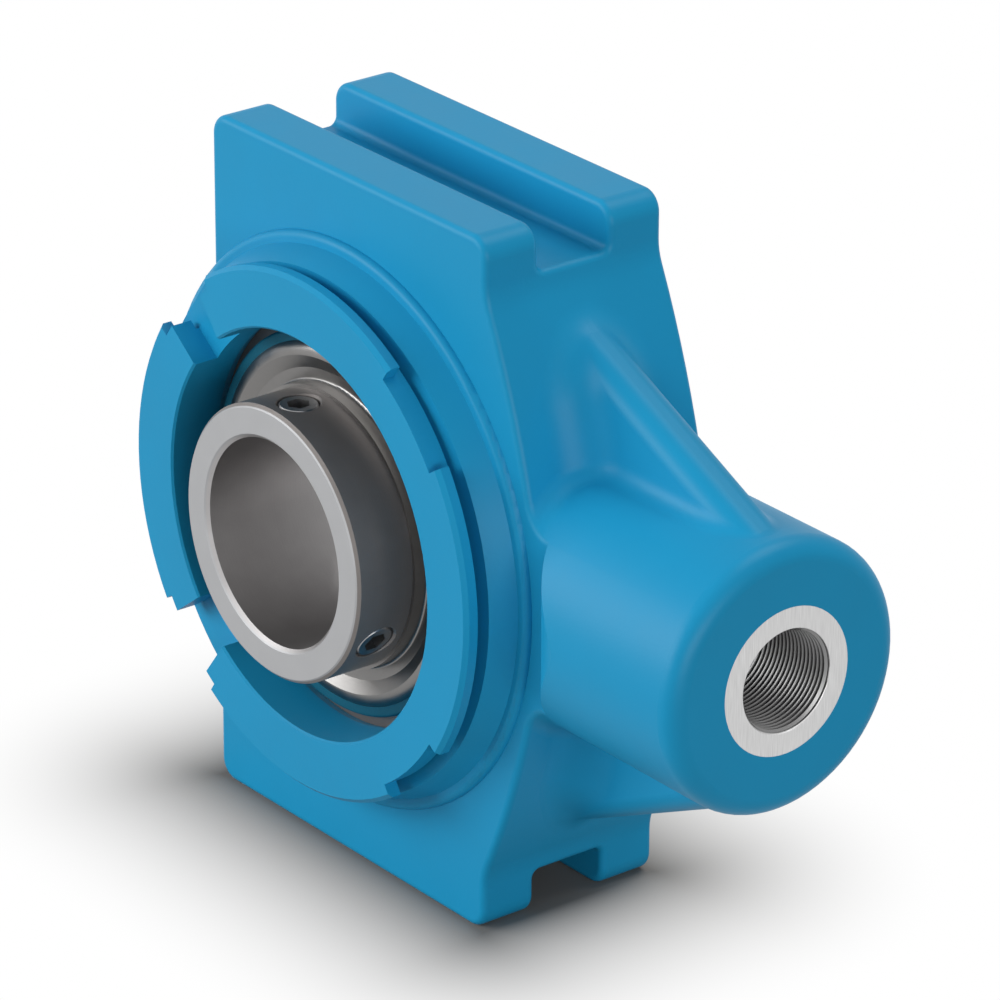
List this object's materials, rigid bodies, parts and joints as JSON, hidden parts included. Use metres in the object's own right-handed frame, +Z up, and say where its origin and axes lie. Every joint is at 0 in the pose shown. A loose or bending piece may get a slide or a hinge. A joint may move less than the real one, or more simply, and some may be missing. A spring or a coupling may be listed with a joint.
{
  "type": "take up bearing unit",
  "caption": "Take-up bearing unit: slotted moulded slider housing with ribbed boss and threaded insert, and a self-aligning insert bearing with a grub-screw locked inner ring.",
  "frame": {"origin": "on the shaft's axis, in the middle plane of the two guide slots", "axes": "+X towards the adjusting screw's boss, -Y out of the collar, +Z up"},
  "size_m": [0.117, 0.0473, 0.102],
  "materials": {
    "housing_plastic": "satin",
    "insert_steel": "brushed",
    "ring_steel": "satin",
    "ball_steel": "polished",
    "cage_plastic": "matte",
    "seal_rubber": "matte",
    "flinger_steel": "satin",
    "screw_steel": "satin"
  },
  "bodies": {
    "housing_body": {"housing": "housing_plastic", "threaded_insert": "insert_steel"},
    "outer_ring_body": {"outer_ring": "ring_steel", "front_seal": "seal_rubber", "rear_seal": "seal_rubber"},
    "inner_ring_body": {"inner_ring": "ring_steel", "front_flinger": "flinger_steel", "rear_flinger": "flinger_steel", "front_flinger_lip": "seal_rubber", "rear_flinger_lip": "seal_rubber"},
    "cage_body": {"ball_cage": "cage_plastic"},
    "screw_top_body": {"grub_screw_top": "screw_steel"},
    "screw_side_body": {"grub_screw_side": "screw_steel"},
    "ball_1_body": {"ball_1": "ball_steel"},
    "ball_2_body": {"ball_2": "ball_steel"},
    "ball_3_body": {"ball_3": "ball_steel"},
    "ball_4_body": {"ball_4": "ball_steel"},
    "ball_5_body": {"ball_5": "ball_steel"},
    "ball_6_body": {"ball_6": "ball_steel"},
    "ball_7_body": {"ball_7": "ball_steel"},
    "ball_8_body": {"ball_8": "ball_steel"},
    "ball_9_body": {"ball_9": "ball_steel"}
  },
  "joints": [
    {"name": "self_alignment", "type": "hinge", "parent": "housing_body", "child": "outer_ring_body", "pos_m": [0, -0.00563, 0], "axis": [0, 0, 1], "range_deg": [-2, 2]},
    {"name": "shaft_spin", "type": "hinge", "parent": "outer_ring_body", "child": "inner_ring_body", "pos_m": [0, -0.00563, 0], "axis": [0, 1, 0], "continuous": true},
    {"name": "cage_spin", "type": "hinge", "parent": "outer_ring_body", "child": "cage_body", "pos_m": [0, -0.00563, 0], "axis": [0, 1, 0], "continuous": true},
    {"name": "screw_top_travel", "type": "slide", "parent": "inner_ring_body", "child": "screw_top_body", "axis": [0, 0, 1], "range_m": [-0.0005, 0.0045]},
    {"name": "screw_side_travel", "type": "slide", "parent": "inner_ring_body", "child": "screw_side_body", "axis": [0.866, 0, -0.5], "range_m": [-0.0005, 0.0045]},
    {"name": "ball_1_spin", "type": "hinge", "parent": "cage_body", "child": "ball_1_body", "pos_m": [0.023, -0.00563, 0], "axis": [0, 1, 0], "continuous": true},
    {"name": "ball_2_spin", "type": "hinge", "parent": "cage_body", "child": "ball_2_body", "pos_m": [0.01762, -0.00563, -0.01478], "axis": [0, 1, 0], "continuous": true},
    {"name": "ball_3_spin", "type": "hinge", "parent": "cage_body", "child": "ball_3_body", "pos_m": [0.00399, -0.00563, -0.02265], "axis": [0, 1, 0], "continuous": true},
    {"name": "ball_4_spin", "type": "hinge", "parent": "cage_body", "child": "ball_4_body", "pos_m": [-0.0115, -0.00563, -0.01992], "axis": [0, 1, 0], "continuous": true},
    {"name": "ball_5_spin", "type": "hinge", "parent": "cage_body", "child": "ball_5_body", "pos_m": [-0.02161, -0.00563, -0.00787], "axis": [0, 1, 0], "continuous": true},
    {"name": "ball_6_spin", "type": "hinge", "parent": "cage_body", "child": "ball_6_body", "pos_m": [-0.02161, -0.00563, 0.00787], "axis": [0, 1, 0], "continuous": true},
    {"name": "ball_7_spin", "type": "hinge", "parent": "cage_body", "child": "ball_7_body", "pos_m": [-0.0115, -0.00563, 0.01992], "axis": [0, 1, 0], "continuous": true},
    {"name": "ball_8_spin", "type": "hinge", "parent": "cage_body", "child": "ball_8_body", "pos_m": [0.00399, -0.00563, 0.02265], "axis": [0, 1, 0], "continuous": true},
    {"name": "ball_9_spin", "type": "hinge", "parent": "cage_body", "child": "ball_9_body", "pos_m": [0.01762, -0.00563, 0.01478], "axis": [0, 1, 0], "continuous": true}
  ],
  "couplings": [
    {"joint": "cage_spin", "follows": "shaft_spin", "ratio": 0.39647},
    {"joint": "ball_1_spin", "follows": "shaft_spin", "ratio": -2.3112},
    {"joint": "ball_2_spin", "follows": "shaft_spin", "ratio": -2.3112},
    {"joint": "ball_3_spin", "follows": "shaft_spin", "ratio": -2.3112},
    {"joint": "ball_4_spin", "follows": "shaft_spin", "ratio": -2.3112},
    {"joint": "ball_5_spin", "follows": "shaft_spin", "ratio": -2.3112},
    {"joint": "ball_6_spin", "follows": "shaft_spin", "ratio": -2.3112},
    {"joint": "ball_7_spin", "follows": "shaft_spin", "ratio": -2.3112},
    {"joint": "ball_8_spin", "follows": "shaft_spin", "ratio": -2.3112},
    {"joint": "ball_9_spin", "follows": "shaft_spin", "ratio": -2.3112}
  ]
}
